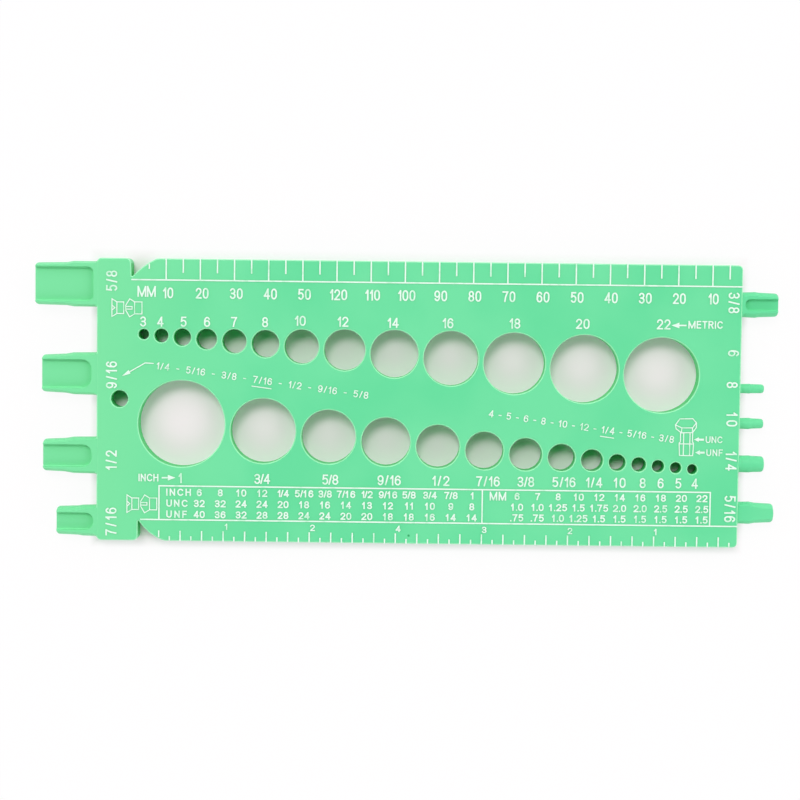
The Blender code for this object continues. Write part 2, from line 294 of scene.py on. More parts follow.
@dataclass(frozen=True)
class MouldedPlastic:
    """Light green plastic: satin and faintly cloudy, with painted light on it.

    A painted pool of light makes its left end paler, and a painted highlight lies on its chamfers.
    Painted shade makes the upright surfaces inside the outline, such as the walls of the holes, a darker
    green, so the holes look deeper than the face.

    Attributes:
        body: The colour of most of the face.
        cloud: The colour that it drifts to.
        cloud_span: The part of the cloudy flow's range in which it drifts.
        pale: The colour at the left end, painted light.
        pale_span: Where the painted light of the left end starts and where it is gone, in millimetres.
        edge: The colour on the chamfers, a painted highlight.
        wall: The colour of upright surfaces inside the outline, such as the walls of the holes, painted
            shade.
        wall_inset: How far inside the outline the painted shade starts, in millimetres.
        speck: The colour of the small dark speck between two inch marks.
        speck_at: The speck's place, in millimetres.
        speck_reach: From its middle, where it starts to fade and where it ends.
        gloss: Strength of the plain reflection.
        grain: The surface's grain.
    """

    body: Colour = (0.128, 0.698, 0.330)
    cloud: Colour = (0.158, 0.730, 0.356)
    cloud_span: Place = (0.38, 0.62)
    # painted light: the left end is made paler
    pale: Colour = (0.192, 0.745, 0.352)
    pale_span: Place = (-96.0, -50.0)
    # painted highlight on the chamfers
    edge: Colour = (0.340, 0.870, 0.500)
    # painted shade on the upright surfaces inside the outline, such as the walls of the holes
    wall: Colour = (0.050, 0.600, 0.165)
    wall_inset: float = 1.5
    speck: Colour = (0.020, 0.330, 0.090)
    speck_at: Place = (-2.4, -39.15)
    speck_reach: Place = (0.12, 0.5)
    gloss: float = 0.3
    grain: FineGrain = FineGrain(grain_scale=2600.0, cloud_scale=38.0, sheen=(0.40, 0.52), bump=0.25)

    def pale_mask(self, bench: NodeBench, along: bpy.types.NodeSocket) -> bpy.types.NodeSocket:
        """Mark the plate's left end, where painted light makes it paler, 1 at its short edge.

        Args:
            bench: The material's nodes.
            along: Distance along the plate from its middle, in metres.

        Returns:
            The mask's socket.
        """
        start, gone = self.pale_span
        return bench.spread(along, (start * MM, gone * MM), (1.0, 0.0))

    def speck_mask(self, bench: NodeBench, places: bpy.types.Node) -> bpy.types.NodeSocket:
        """Mark the speck.

        Args:
            bench: The material's nodes.
            places: The node that gives the places on the object.

        Returns:
            The mask's socket.
        """
        away = bench.add("ShaderNodeVectorMath", operation="DISTANCE")
        bench.join(places.outputs["Object"], away.inputs[0])
        away.inputs[1].default_value = PLATE.in_frame(*self.speck_at, 0.0)
        fades, ends = self.speck_reach
        return bench.spread(away.outputs["Value"], (fades * MM, ends * MM), (1.0, 0.0))

    def level(self, bench: NodeBench) -> bpy.types.NodeSocket:
        """Tell how level the surface lies.

        Args:
            bench: The material's nodes.

        Returns:
            The socket of the measure, from 0 on a wall to 1 on the face.
        """
        facing = bench.add("ShaderNodeNewGeometry")
        parts = bench.add("ShaderNodeSeparateXYZ")
        bench.join(facing.outputs["True Normal"], parts.inputs["Vector"])
        return bench.math("ABSOLUTE", parts.outputs["Z"])

    def within(
        self, bench: NodeBench, along: bpy.types.NodeSocket, across: bpy.types.NodeSocket, inset: float
    ) -> bpy.types.NodeSocket:
        """Mark what lies inside the plate's outline, and leave the posts out.

        Args:
            bench: The material's nodes.
            along: Distance along the plate from its middle, in metres.
            across: Distance across it.
            inset: How far inside the outline the mark ends, in millimetres.

        Returns:
            The mask's socket.
        """
        masks = []
        for off, half in ((along, PLATE.half_length), (across, PLATE.half_width)):
            masks.append(bench.math("LESS_THAN", bench.math("ABSOLUTE", off), (half - inset) * MM))
        return bench.math("MULTIPLY", *masks)

    def material(self, moulding: bpy.types.NodeTree) -> bpy.types.Material:
        """Make the material.

        Args:
            moulding: The group that gives the grain and the cloudy flow.

        Returns:
            The plastic.
        """
        made = bpy.data.materials.new("moulded_plastic")
        made.use_nodes = True
        bench = NodeBench(made.node_tree)
        shader = made.node_tree.nodes["Principled BSDF"]
        shader.inputs["Specular IOR Level"].default_value = self.gloss
        flow = self.grain.lay(bench, shader, moulding)
        places = bench.add("ShaderNodeTexCoord")
        parts = bench.add("ShaderNodeSeparateXYZ")
        bench.join(places.outputs["Object"], parts.inputs["Vector"])
        along = bench.math("SUBTRACT", parts.outputs["X"], PLATE.middle_x * MM)
        across = parts.outputs["Y"]
        colour = bench.blend(bench.spread(flow, self.cloud_span, (0.0, 1.0)), self.body, self.cloud)
        # painted light: a paler left end
        colour = bench.blend(self.pale_mask(bench, along), colour, self.pale)
        level = self.level(bench)
        # painted shade goes on the upright surfaces
        shaded_upright = bench.math("LESS_THAN", level, UPRIGHT_BELOW)
        # painted highlight goes on the sloping chamfers
        highlight_slope = bench.math(
            "MULTIPLY",
            bench.math("GREATER_THAN", level, UPRIGHT_BELOW),
            bench.math("LESS_THAN", level, LEVEL_ABOVE),
        )
        for slope, inset, painted_lighting in ((highlight_slope, 0.0, self.edge), (shaded_upright, self.wall_inset, self.wall)):
            mask = bench.math("MULTIPLY", slope, self.within(bench, along, across, inset))
            colour = bench.blend(mask, colour, painted_lighting)
        colour = bench.blend(self.speck_mask(bench, places), colour, self.speck)
        bench.join(colour, shader.inputs["Base Color"])
        return made


@dataclass(frozen=True)
class StampedFoil:
    """Pale mint foil on the raised characters, thin here and there.

    Attributes:
        full: The colour where the foil covers.
        thin: The colour where the plastic shows through.
        wear_span: The part of the cloudy flow's range in which the foil thins.
        grain: The surface's grain.
    """

    full: Colour = (0.800, 0.960, 0.860)
    thin: Colour = (0.560, 0.900, 0.680)
    wear_span: Place = (0.52, 0.70)
    grain: FineGrain = FineGrain(grain_scale=1800.0, cloud_scale=420.0, sheen=(0.34, 0.46), bump=0.2)

    def material(self, moulding: bpy.types.NodeTree) -> bpy.types.Material:
        """Make the material.

        Args:
            moulding: The group that gives the grain and the cloudy flow.

        Returns:
            The foil.
        """
        made = bpy.data.materials.new("stamped_foil")
        made.use_nodes = True
        bench = NodeBench(made.node_tree)
        shader = made.node_tree.nodes["Principled BSDF"]
        flow = self.grain.lay(bench, shader, moulding)
        wear = bench.spread(flow, self.wear_span, (0.0, 1.0))
        bench.join(bench.blend(wear, self.full, self.thin), shader.inputs["Base Color"])
        return made


@dataclass(frozen=True)
class Finishes:
    """The materials that the pieces share."""

    plastic: bpy.types.Material
    foil: bpy.types.Material

    @classmethod
    def made(cls) -> Finishes:
        """Make both materials around one moulding group."""
        moulding = moulding_group()
        return cls(plastic=MouldedPlastic().material(moulding), foil=StampedFoil().material(moulding))


def encloses(outline: list[Vector], place: Vector) -> bool:
    """Tell whether a place lies inside a closed outline.

    Args:
        outline: The outline's corners.
        place: The place.

    Returns:
        True where a line to the right of the place crosses the outline an odd number of times.
    """
    inside = False
    for before, after in zip([outline[-1], *outline], outline):
        if (before.y > place.y) == (after.y > place.y):
            continue
        share = (place.y - before.y) / (after.y - before.y)
        if place.x < before.x + share * (after.x - before.x):
            inside = not inside
    return inside


@dataclass
class FlatShape:
    """Triangles that fill a flat outline, in millimetres, all of them anticlockwise."""

    points: list[Vector]
    triangles: list[tuple[int, int, int]]

    @classmethod
    def joined(cls, patches: list[list[Vector]], window: list[Vector] | None = None) -> FlatShape:
        """Merge overlapping patches into one shape.

        Args:
            patches: Closed outlines, which may overlap.
            window: An outline that the result is cut to, where one is needed.

        Returns:
            The shape, without the points that nothing uses.
        """
        outlines = [*patches, *([window] if window else [])]
        places: list[Vector] = []
        faces = []
        for outline in outlines:
            faces.append(list(range(len(places), len(places) + len(outline))))
            places.extend(outline)
        corners, _, triangles, *_ = delaunay_2d_cdt(places, [], faces, ALL_TRIANGLES, WELD)
        renumbered: dict[int, int] = {}
        kept = []
        for triangle in triangles:
            a, b, c = (corners[index] for index in triangle)
            middle = (a + b + c) / 3
            if window and not encloses(window, middle):
                continue
            if not any(encloses(patch, middle) for patch in patches):
                continue
            order = triangle if (b - a).cross(c - a) > 0 else reversed(triangle)
            kept.append(tuple(renumbered.setdefault(index, len(renumbered)) for index in order))
        return cls(points=[Vector(corners[index]) for index in renumbered], triangles=kept)

    def border(self) -> list[tuple[int, int]]:
        """List the edges that only one triangle has.

        Returns:
            The numbers of each edge's two points, in the triangle's own direction.
        """
        edges = set()
        for a, b, c in self.triangles:
            edges.update(((a, b), (b, c), (c, a)))
        return sorted((a, b) for a, b in edges if (b, a) not in edges)


def ribbon(path: list[Vector], breadth: float, closed: bool = False) -> list[list[Vector]]:
    """Lay a band of even breadth along a line.

    Args:
        path: The centre line.
        breadth: The band's breadth.
        closed: Whether the line runs back to its start. An open one gets square ends.

    Returns:
        A four-cornered patch for each piece of the line.
    """
    line = [point.copy() for point in path]
    if not closed:
        line[0] -= (line[1] - line[0]).normalized() * breadth / 2
        line[-1] += (line[-1] - line[-2]).normalized() * breadth / 2
    count = len(line)
    pieces = count if closed else count - 1
    headings = [(line[(index + 1) % count] - line[index]).normalized() for index in range(pieces)]
    sides = []
    for index in range(count):
        before = headings[index - 1] if closed or index > 0 else headings[0]
        after = headings[index] if index < pieces else headings[-1]
        mean = (before + after).normalized()
        reach = breadth / 2 / max(mean.dot(after), SHARPEST_MITRE)
        across = Vector((-mean.y, mean.x)) * reach
        sides.append((line[index] + across, line[index] - across))
    patches = []
    for index in range(pieces):
        left, right = sides[index]
        next_left, next_right = sides[(index + 1) % count]
        patches.append([left, right, next_right, next_left])
    return patches


class Relief:
    """Flat shapes that stand a little proud of the face, gathered into one closed mesh."""

    def __init__(self, rise: float = PRINT_RISE) -> None:
        """Start an empty relief.

        Args:
            rise: How far the tops stand over the face, in millimetres.
        """
        self.rise = rise
        self.points: list[Vector] = []
        self.faces: list[tuple[int, ...]] = []
        self.sides: list[int] = []

    def add(self, shape: FlatShape, x: float = 0.0, y: float = 0.0, turn: float = 0.0) -> None:
        """Raise a shape.

        Args:
            shape: The shape, about its own origin.
            x: Where its origin goes along the plate.
            y: Where its origin goes across the plate.
            turn: Its turn in radians, anticlockwise.
        """
        first = len(self.points)
        under = first + len(shape.points)
        spin = Matrix.Rotation(turn, 2)
        placed = [spin @ point + Vector((x, y)) for point in shape.points]
        for height in (self.rise, -PRINT_DEPTH):
            self.points.extend(PLATE.in_frame(point.x, point.y, height) for point in placed)
        for a, b, c in shape.triangles:
            self.cover((first + a, first + b, first + c), Side.TOP)
            self.cover((under + c, under + b, under + a), Side.WALL)
        for a, b in shape.border():
            self.cover((first + b, first + a, under + a, under + b), Side.WALL)

    def cover(self, face: tuple[int, ...], side: Side) -> None:
        """Add one face and note its side."""
        self.faces.append(face)
        self.sides.append(side.value)

    def draw(self, lines: list[Line], breadth: float, at: Place = (0.0, 0.0)) -> None:
        """Raise bands along some lines, joined to one shape.

        Args:
            lines: The lines' places, each with whether it is closed.
            breadth: Breadth of every band.
            at: Where the lines' own origin goes.
        """
        patches = []
        for places, closed in lines:
            patches.extend(ribbon([Vector(place) for place in places], breadth, closed))
        self.add(FlatShape.joined(patches), *at)

    def build(self, name: str, finishes: Finishes) -> bpy.types.Object:
        """Make the piece, foil on top and plastic below.

        Args:
            name: The piece's name.
            finishes: The shared materials.

        Returns:
            The piece, riding on the gauge.
        """
        mesh = bpy.data.meshes.new(name)
        mesh.from_pydata(self.points, [], self.faces)
        mesh.materials.append(finishes.foil)
        mesh.materials.append(finishes.plastic)
        mesh.polygons.foreach_set("material_index", self.sides)
        mesh.update()
        return place_piece(name, mesh)


def place_piece(name: str, mesh: bpy.types.Mesh) -> bpy.types.Object:
    """Put a finished mesh in the scene as a piece of the gauge.

    Args:
        name: The piece's name.
        mesh: Its mesh, in the model's frame.

    Returns:
        The piece, riding on the gauge.
    """
    piece = bpy.data.objects.new(name, mesh)
    bpy.context.scene.collection.objects.link(piece)
    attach(piece, ROOT)
    LOG.info("%s: %d faces", name, len(mesh.polygons))
    return piece


@dataclass(frozen=True)
class Stroke:
    """A centre line in a box that is one wide and one high."""

    points: tuple[Place, ...]
    closed: bool = False


def bow(centre: Place, reach: Place, start: float, end: float) -> tuple[Place, ...]:
    """Give points along part of an ellipse.

    Args:
        centre: Its middle.
        reach: Its half width and half height.
        start: The angle to begin at, in degrees from the right, anticlockwise.
        end: The angle to stop at.

    Returns:
        The points, both ends included.
    """
    steps = max(2, math.ceil(abs(end - start) / BOW_STEP))
    places = []
    for index in range(steps + 1):
        turn = math.radians(start + (end - start) * index / steps)
        places.append((centre[0] + reach[0] * math.cos(turn), centre[1] + reach[1] * math.sin(turn)))
    return tuple(places)


def bar(*points: Place) -> Stroke:
    """A stroke through the given points."""
    return Stroke(points)


def ring(centre: Place, reach: Place) -> Stroke:
    """A stroke all round an ellipse."""
    return Stroke(bow(centre, reach, 0, 360)[:-1], closed=True)


@dataclass(frozen=True)
class Glyph:
    """A character's strokes, and its breadth against a digit's."""

    breadth: float
    strokes: tuple[Stroke, ...]


def glyph_book() -> dict[str, Glyph]:
    """Draw every character that the gauge carries.

    Returns:
        The glyphs by character.
    """
    bowl = ring((0.5, 0.31), (0.5, 0.31))
    tail = Stroke(((0.0, 0.31), *bow((0.52, 0.56), (0.52, 0.44), 180, 38)))
    turned = tuple(
        Stroke(tuple((1 - x, 1 - y) for x, y in stroke.points), stroke.closed) for stroke in (bowl, tail)
    )
    crown, base = bow((0.5, 0.66), (0.5, 0.34), 0, 180), bow((0.5, 0.34), (0.5, 0.34), 180, 360)
    oval = Stroke(crown + base, closed=True)
    left, right = bar((0, 0), (0, 1)), bar((1, 0), (1, 1))
    return {
        "0": Glyph(1.0, (oval,)),
        "1": Glyph(0.58, (bar((1, 0), (1, 1)), bar((0.1, 0.72), (1, 1)))),
        "2": Glyph(1.0, (
            Stroke((*bow((0.5, 0.71), (0.5, 0.29), 172, -35), (0, 0))),
            bar((0, 0), (1, 0)),
        )),
        "3": Glyph(1.0, (
            Stroke((*bow((0.48, 0.755), (0.46, 0.245), 160, -90), (0.3, 0.51))),
            Stroke(((0.3, 0.51), *bow((0.5, 0.255), (0.5, 0.255), 90, -162))),
        )),
        "4": Glyph(1.05, (
            bar((0.74, 0), (0.74, 1)),
            bar((0, 0.27), (1, 0.27)),
            bar((0.03, 0.27), (0.72, 1)),
        )),
        "5": Glyph(1.0, (
            bar((0.14, 1), (0.93, 1)),
            bar((0.15, 1), (0.07, 0.55)),
            Stroke(((0.07, 0.55), *bow((0.49, 0.325), (0.51, 0.325), 128, -142))),
        )),
        "6": Glyph(1.0, (bowl, tail)),
        "7": Glyph(1.0, (bar((0, 1), (1, 1)), bar((0.98, 1), (0.55, 0.48), (0.38, 0)))),
        "8": Glyph(1.0, (ring((0.5, 0.75), (0.44, 0.25)), ring((0.5, 0.26), (0.5, 0.26)))),
        "9": Glyph(1.0, turned),
        "/": Glyph(0.6, (bar((0, 0), (1, 1)),)),
        ".": Glyph(0.2, (bar((0, 0), (0, 0.02)),)),
        "-": Glyph(0.65, (bar((0, 0.42), (1, 0.42)),)),
        "M": Glyph(1.5, (left, right, bar((0, 1), (0.5, 0)), bar((0.5, 0), (1, 1)))),
        "I": Glyph(0.2, (bar((0, 0), (0, 1)),)),
        "N": Glyph(1.08, (left, right, bar((0, 1), (1, 0)))),
        "C": Glyph(1.2, (Stroke(bow((0.55, 0.5), (0.55, 0.5), 42, 318)),)),
        "H": Glyph(1.08, (left, right, bar((0, 0.53), (1, 0.53)))),
        "E": Glyph(0.98, (left, bar((0, 0), (1, 0)), bar((0, 0.53), (0.92, 0.53)), bar((0, 1), (1, 1)))),
        "T": Glyph(1.05, (bar((0, 1), (1, 1)), bar((0.5, 0), (0.5, 1)))),
        "R": Glyph(1.12, (
            left,
            Stroke(((0, 1), *bow((0.6, 0.765), (0.36, 0.235), 90, -90), (0, 0.53))),
            bar((0.52, 0.53), (0.98, 0)),
        )),
        "U": Glyph(1.1, (Stroke(((0, 1), *bow((0.5, 0.33), (0.5, 0.33), 180, 360), (1, 1))),)),
        "F": Glyph(0.92, (left, bar((0, 0.5), (0.88, 0.5)), bar((0, 1), (1, 1)))),
    }


GLYPHS = glyph_book()


@dataclass(frozen=True)
class Label:
    """A label in its place on the face.

    Attributes:
        text: What it reads.
        x: Its middle along the plate.
        y: Its middle across the plate.
        span: The breadth that it is spaced out to, or None for its own breadth.
    """

    text: str
    x: float
    y: float
    span: float | None = None


@dataclass(frozen=True)
class Lettering:
    """One size of characters, in millimetres.

    Attributes:
        cap: Height of a character.
        breadth: Breadth of a digit.
        gap: Space between neighbours.
        stroke: Breadth of a stroke.
        after_one: Further space between a 1 and the digit or point that follows.
        by_slash: How much closer a slash stands to its neighbours.
        drawn: The characters drawn so far.
    """

    cap: float
    breadth: float
    gap: float
    stroke: float
    after_one: float = 0.0
    by_slash: float = 0.0
    drawn: dict[str, FlatShape] = field(default_factory=dict)

    def ink(self, mark: str) -> float:
        """Breadth of one character."""
        return max(self.stroke, GLYPHS[mark].breadth * self.breadth)

    def space(self, mark: str, follower: str) -> float:
        """Space between two neighbours.

        Args:
            mark: The character on the left.
            follower: The one on its right.

        Returns:
            The space in millimetres.
        """
        if "/" in (mark, follower):
            return self.gap - self.by_slash
        return self.gap + self.after_one if mark == "1" else self.gap

    def width(self, text: str) -> float:
        """Breadth of a whole label."""
        inks = sum(self.ink(mark) for mark in text)
        return inks + sum(self.space(mark, follower) for mark, follower in zip(text, text[1:]))

    def shape(self, mark: str) -> FlatShape:
        """Draw a character from its lower left corner, once for each size.

        Args:
            mark: The character.

        Returns:
            Its flat shape, cut square at the height of the capitals.
        """
        if mark in self.drawn:
            return self.drawn[mark]
        ink = self.ink(mark)
        inset = Vector((self.stroke / 2, self.stroke / 2))
        patches = []
        for stroke in GLYPHS[mark].strokes:
            path = [
                inset + Vector((x * (ink - self.stroke), y * (self.cap - self.stroke)))
                for x, y in stroke.points
            ]
            patches.extend(ribbon(path, self.stroke, stroke.closed))
        window = [Vector((0, 0)), Vector((ink, 0)), Vector((ink, self.cap)), Vector((0, self.cap))]
        self.drawn[mark] = FlatShape.joined(patches, window)
        return self.drawn[mark]

    def write(
        self,
        relief: Relief,
        text: str,
        x: float,
        y: float,
        turn: float = Reading.ALONG.value,
        span: float | None = None,
    ) -> None:
        """Raise a label about its middle.

        Args:
            relief: What takes the characters.
            text: The label.
            x: Its middle along the plate.
            y: Its middle across the plate.
            turn: Its turn in radians.
            span: The breadth that it is spaced out to, where it isn't its own.
        """
        width = self.width(text)
        stretch = 0.0
        if span is not None and len(text) > 1:
            stretch = (span - width) / (len(text) - 1)
            width = span
        spin = Matrix.Rotation(turn, 2)
        left = -width / 2
        for mark, follower in zip_longest(text, text[1:], fillvalue=""):
            corner = spin @ Vector((left, -self.cap / 2))
            relief.add(self.shape(mark), x + corner.x, y + corner.y, turn)
            left += self.ink(mark) + self.space(mark, follower) + stretch

    def place(self, relief: Relief, label: Label, reading: Reading = Reading.ALONG) -> None:
        """Raise a label in its place.

        Args:
            relief: What takes the characters.
            label: The label.
            reading: Which way it is read.
        """
        self.write(relief, label.text, label.x, label.y, reading.value, label.span)


SCALE_LETTERS = Lettering(cap=3.2, breadth=1.75, gap=0.3, stroke=0.46)
HOLE_LETTERS = Lettering(cap=3.0, breadth=1.82, gap=0.36, stroke=0.44)
END_LETTERS = Lettering(cap=3.3, breadth=1.85, gap=0.5, stroke=0.46)
TABLE_LETTERS = Lettering(cap=2.15, breadth=1.5, gap=0.24, stroke=0.4, after_one=0.4, by_slash=0.2)
TALL_LETTERS = Lettering(cap=2.6, breadth=1.5, gap=0.3, stroke=0.42)
INCH_DIGITS = Lettering(cap=1.9, breadth=1.4, gap=0.3, stroke=0.34)
WORD_LETTERS = Lettering(cap=2.25, breadth=1.4, gap=0.32, stroke=0.38)
SMALL_LETTERS = Lettering(cap=2.0, breadth=1.3, gap=0.3, stroke=0.32)
SLANTED_LETTERS = Lettering(cap=2.1, breadth=1.35, gap=0.45, stroke=0.31)


def marks_tree() -> bpy.types.NodeTree:
    """Make the Geometry Nodes tree that sets out a ruler's marks.

    Returns:
        A tree that lays raised marks from a start, every few of them long.
    """
    tree = bpy.data.node_groups.new("ruler_marks", "GeometryNodeTree")
    given = {
        "Count": "NodeSocketInt",
        "Start": "NodeSocketVector",
        "Pitch": "NodeSocketFloat",
        "Breadth": "NodeSocketFloat",
        "Height": "NodeSocketFloat",
        "Long": "NodeSocketFloat",
        "Short": "NodeSocketFloat",
        "Cycle": "NodeSocketInt",
        "Long Place": "NodeSocketInt",
        "Turn": "NodeSocketFloat",
        "Top Finish": "NodeSocketMaterial",
        "Wall Finish": "NodeSocketMaterial",
    }
    for name, kind in given.items():
        tree.interface.new_socket(name, in_out="INPUT", socket_type=kind)
    tree.interface.new_socket("Geometry", in_out="OUTPUT", socket_type="NodeSocketGeometry")
    bench = NodeBench(tree)
    asked = bench.add("NodeGroupInput").outputs
    step = bench.add("ShaderNodeCombineXYZ")
    bench.join(asked["Pitch"], step.inputs["X"])
    line = bench.add("GeometryNodeMeshLine", mode="OFFSET", count_mode="TOTAL")
    bench.join(asked["Count"], line.inputs["Count"])
    bench.join(asked["Start"], line.inputs["Start Location"])
    bench.join(step.outputs["Vector"], line.inputs["Offset"])
    block = bench.add("GeometryNodeMeshCube")
    block.inputs["Size"].default_value = (1.0, 1.0, 1.0)
    seated = bench.add("GeometryNodeTransform")
    seated.inputs["Translation"].default_value = BLOCK_SEAT
    bench.join(block.outputs["Mesh"], seated.inputs["Geometry"])
    order = bench.add("GeometryNodeInputIndex")
    place = bench.math("MODULO", order.outputs["Index"], asked["Cycle"])
    away = bench.math("ABSOLUTE", bench.math("SUBTRACT", place, asked["Long Place"]))
    is_long = bench.math("LESS_THAN", away, WHOLE_STEP / 2)
    extra = bench.math("SUBTRACT", asked["Long"], asked["Short"])
    reach = bench.math("ADD", asked["Short"], bench.math("MULTIPLY", is_long, extra))
    size = bench.add("ShaderNodeCombineXYZ")
    for source, axis in ((asked["Breadth"], "X"), (reach, "Y"), (asked["Height"], "Z")):
        bench.join(source, size.inputs[axis])
    spin = bench.add("ShaderNodeCombineXYZ")
    bench.join(asked["Turn"], spin.inputs["Z"])
    turned = bench.add("FunctionNodeEulerToRotation")
    bench.join(spin.outputs["Vector"], turned.inputs["Euler"])
    laid = bench.add("GeometryNodeInstanceOnPoints")
    bench.join(line.outputs["Mesh"], laid.inputs["Points"])
    bench.join(seated.outputs["Geometry"], laid.inputs["Instance"])
    bench.join(turned.outputs["Rotation"], laid.inputs["Rotation"])
    bench.join(size.outputs["Vector"], laid.inputs["Scale"])
    real = bench.add("GeometryNodeRealizeInstances")
    bench.join(laid.outputs["Instances"], real.inputs["Geometry"])
    walls = bench.add("GeometryNodeSetMaterial")
    bench.join(real.outputs["Geometry"], walls.inputs["Geometry"])
    bench.join(asked["Wall Finish"], walls.inputs["Material"])
    facing = bench.add("ShaderNodeSeparateXYZ")
    bench.join(bench.add("GeometryNodeInputNormal").outputs["Normal"], facing.inputs["Vector"])
    tops = bench.add("GeometryNodeSetMaterial")
    bench.join(walls.outputs["Geometry"], tops.inputs["Geometry"])
    is_top = bench.math("GREATER_THAN", facing.outputs["Z"], LEVEL_ABOVE)
    bench.join(is_top, tops.inputs["Selection"])
    bench.join(asked["Top Finish"], tops.inputs["Material"])
    bench.join(tops.outputs["Geometry"], bench.add("NodeGroupOutput").inputs["Geometry"])
    return tree


@dataclass(frozen=True)
class RulerMarks:
    """Evenly spaced marks that run in from a ruler edge, in millimetres.

    Attributes:
        name: The piece's name.
        first_x: Place of the first mark.
        edge: 1 for the upper ruler edge, -1 for the lower one.
        count: How many marks.
        pitch: From one mark to the next.
        long_reach: How far a long mark runs in.
        short_reach: How far a short mark runs in.
        long_place: Which mark of every two is long, 0 or 1.
        breadth: Breadth of a mark.
        inset: From the ruler edge to a mark's outer end.
        depth: How far its walls reach down, past the edge's chamfer.
    """

    name: str
    first_x: float
    edge: int
    count: int
    pitch: float
    long_reach: float
    short_reach: float
    long_place: int
    breadth: float = 0.42
    inset: float = 0.05
    depth: float = 0.3

    def build(self, tree: bpy.types.NodeTree, finishes: Finishes) -> bpy.types.Object:
        """Lay the marks and turn them into a plain mesh.

        Args:
            tree: The Geometry Nodes tree that sets out marks.
            finishes: The shared materials.

        Returns:
            The piece, riding on the gauge.
        """
        drawn = bpy.data.objects.new(self.name, bpy.data.meshes.new(self.name))
        bpy.context.scene.collection.objects.link(drawn)
        setting = drawn.modifiers.new("marks", "NODES")
        setting.node_group = tree
        start = PLATE.in_frame(self.first_x, self.edge * (PLATE.half_width - self.inset), -self.depth)
        wanted = {
            "Count": self.count,
            "Start": start,
            "Pitch": self.pitch * MM,
            "Breadth": self.breadth * MM,
            "Height": (PRINT_RISE + self.depth) * MM,
            "Long": self.long_reach * MM,
            "Short": self.short_reach * MM,
            "Cycle": LONG_EVERY,
            "Long Place": self.long_place,
            "Turn": math.pi if self.edge > 0 else 0.0,
            "Top Finish": finishes.foil,
            "Wall Finish": finishes.plastic,
        }
        for socket in tree.interface.items_tree:
            if socket.in_out == "INPUT":
                setting[socket.identifier] = wanted[socket.name]
        seen = drawn.evaluated_get(bpy.context.evaluated_depsgraph_get())
        mesh = bpy.data.meshes.new_from_object(seen)
        bpy.data.objects.remove(drawn)
        mesh.name = self.name
        return place_piece(self.name, mesh)


@dataclass(frozen=True)
class MillimetreRuler:
    """The upper ruler edge: marks every 5 mm, and numbers that count in from both ends.

    Attributes:
        zero_x: Place of the ruler's zero, at the notch's wall.
        first_mark: From the zero to the first mark, which is long.
        numbers: What the numbers read, from left to right.
        number_step: From one number's middle to the next.
        number_shift: How far right of its mark a number stands.
        number_y: Middle of the numbers across the plate, at the zero.
        number_slope: How far that middle moves up for each millimetre along the plate.
        unit: The word before the numbers.
        cut_mark: The short mark beside the notch.
        cut_breadth: That mark's breadth.
    """

    zero_x: float = -84.25
    first_mark: float = 10.0
    numbers: tuple[int, ...] = (10, 20, 30, 40, 50, 120, 110, 100, 90, 80, 70, 60, 50, 40, 30, 20, 10)
    number_step: float = 9.98
    number_shift: float = 0.6
    number_y: float = 31.5
    number_slope: float = 0.0008
    unit: Label = Label("MM", -79.95, 31.88, 5.4)
    cut_mark: tuple[Place, Place] = ((-79.2, 39.75), (-79.2, 38.65))
    cut_breadth: float = 0.4

    def build(self, tree: bpy.types.NodeTree, finishes: Finishes) -> None:
        """Make the marks, the one that the notch cuts short, and the numbers.

        Args:
            tree: The Geometry Nodes tree that sets out marks.
            finishes: The shared materials.
        """
        RulerMarks(
            "millimetre_marks", self.zero_x + self.first_mark, edge=1, count=34, pitch=5.0,
            long_reach=6.3, short_reach=4.1, long_place=0,
        ).build(tree, finishes)
        relief = Relief()
        relief.draw([(self.cut_mark, False)], self.cut_breadth)
        SCALE_LETTERS.place(relief, self.unit)
        for index, number in enumerate(self.numbers, start=1):
            x = self.zero_x + self.number_step * index + self.number_shift
            y = self.number_y + self.number_slope * (x - self.zero_x)
            SCALE_LETTERS.write(relief, str(number), x, y)
        relief.build("millimetre_numbers", finishes)


@dataclass(frozen=True)
class InchRuler:
    """The lower ruler edge: marks every eighth of an inch, and a digit at each inch.

    Attributes:
        zero_x: Place of the ruler's zero, at the notch's wall.
        step: From one mark to the next.
        first_step: How many steps the first mark is from the zero.
        digits: What the digits read, from left to right.
        digit_shifts: How far right of its mark each digit stands.
        digit_y: Middle of the digits across the plate.
        cut_mark: The short mark beside the notch.
        cut_breadth: That mark's breadth.
    """

    zero_x: float = -82.5
    step: float = INCH / 8
    first_step: int = 3
    digits: tuple[int, ...] = (1, 2, 4, 3, 2, 1)
    digit_shifts: tuple[float, ...] = (0.8, 0.95, 0.8, 0.8, 0.7, 0.4)
    digit_y: float = -37.15
    cut_mark: tuple[Place, Place] = ((-76.1, -38.65), (-76.1, -40.25))
    cut_breadth: float = 0.4

    def build(self, tree: bpy.types.NodeTree, finishes: Finishes) -> None:
        """Make the marks, the one that the notch cuts short, and the digits.

        Args:
            tree: The Geometry Nodes tree that sets out marks.
            finishes: The shared materials.
        """
        RulerMarks(
            "inch_marks", self.zero_x + self.first_step * self.step, edge=-1, count=53, pitch=self.step,
            long_reach=3.0, short_reach=1.4, long_place=1,
        ).build(tree, finishes)
        relief = Relief()
        relief.draw([(self.cut_mark, False)], self.cut_breadth)
        for index, (digit, shift) in enumerate(zip(self.digits, self.digit_shifts), start=1):
            x = self.zero_x + INCH * index + shift
            INCH_DIGITS.write(relief, str(digit), x, self.digit_y)
        relief.build("inch_numbers", finishes)


